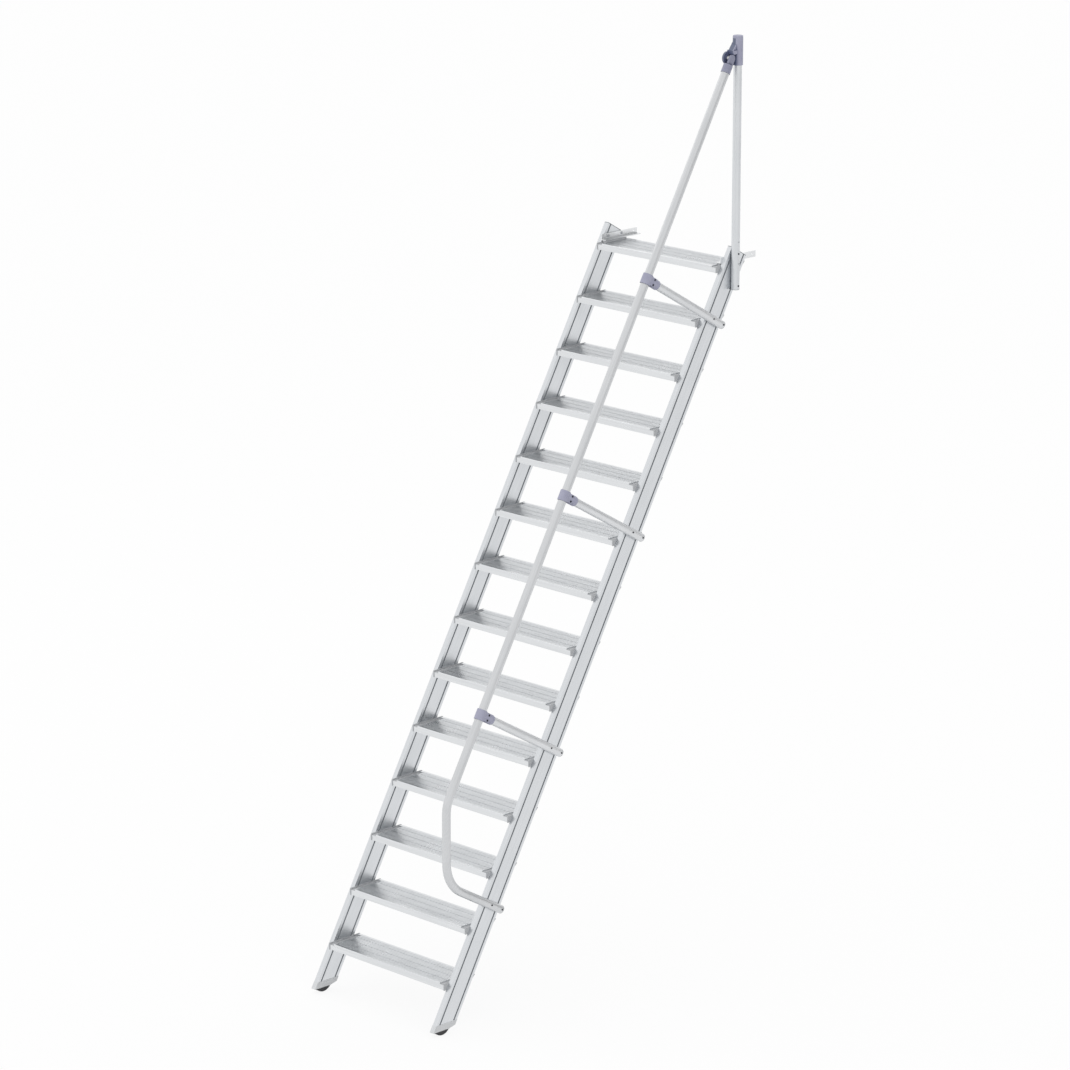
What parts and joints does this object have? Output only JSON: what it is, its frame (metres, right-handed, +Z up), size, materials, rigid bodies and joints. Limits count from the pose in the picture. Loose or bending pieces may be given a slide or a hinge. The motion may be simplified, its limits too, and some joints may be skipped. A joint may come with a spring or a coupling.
{
  "type": "aluminium access stair",
  "caption": "Steep straight aluminium stair with ribbed treads between grooved stringers, a tube handrail on the right, rubber feet and angle brackets that lie on a landing.",
  "frame": {"origin": "middle of the flat underside of the left landing bracket, behind the top tread", "axes": "+X to the climber's right, +Y in the climbing direction, +Z up"},
  "size_m": [0.8832, 2.1687, 4.4484],
  "materials": {
    "stringer_aluminium": "mill finish extrusion",
    "tread_aluminium": "ribbed mill finish extrusion",
    "tube_aluminium": "satin drawn tube",
    "bracket_aluminium": "satin angle",
    "end_cap_plastic": "grey moulded plastic",
    "foot_cap_plastic": "light grey moulded plastic",
    "foot_rubber": "moulded rubber",
    "fitting_plastic": "blue grey moulded plastic",
    "plug_plastic": "grey moulded plastic",
    "pin_steel": "zinc plated"
  },
  "bodies": {
    "root": {"left_stringer": "stringer_aluminium", "left_stringer_top_cap": "plug_plastic", "left_tread_end_caps": "end_cap_plastic", "left_foot_cap": "foot_cap_plastic", "left_rubber_foot": "foot_rubber", "left_top_bracket": "bracket_aluminium", "right_stringer": "stringer_aluminium", "right_stringer_top_cap": "plug_plastic", "right_tread_end_caps": "end_cap_plastic", "right_foot_cap": "foot_cap_plastic", "right_rubber_foot": "foot_rubber", "right_top_bracket": "bracket_aluminium", "tread_01": "tread_aluminium", "tread_02": "tread_aluminium", "tread_03": "tread_aluminium", "tread_04": "tread_aluminium", "tread_05": "tread_aluminium", "tread_06": "tread_aluminium", "tread_07": "tread_aluminium", "tread_08": "tread_aluminium", "tread_09": "tread_aluminium", "tread_10": "tread_aluminium", "tread_11": "tread_aluminium", "tread_12": "tread_aluminium", "tread_13": "tread_aluminium", "tread_14": "tread_aluminium", "handrail": "tube_aluminium", "handrail_post": "tube_aluminium", "lower_strut": "tube_aluminium", "lower_clamp": "fitting_plastic", "middle_strut": "tube_aluminium", "middle_clamp": "fitting_plastic", "upper_strut": "tube_aluminium", "upper_clamp": "fitting_plastic", "post_head": "fitting_plastic", "handrail_swivel": "fitting_plastic", "swivel_pin": "pin_steel", "tube_end_plugs": "plug_plastic"}
  },
  "joints": []
}
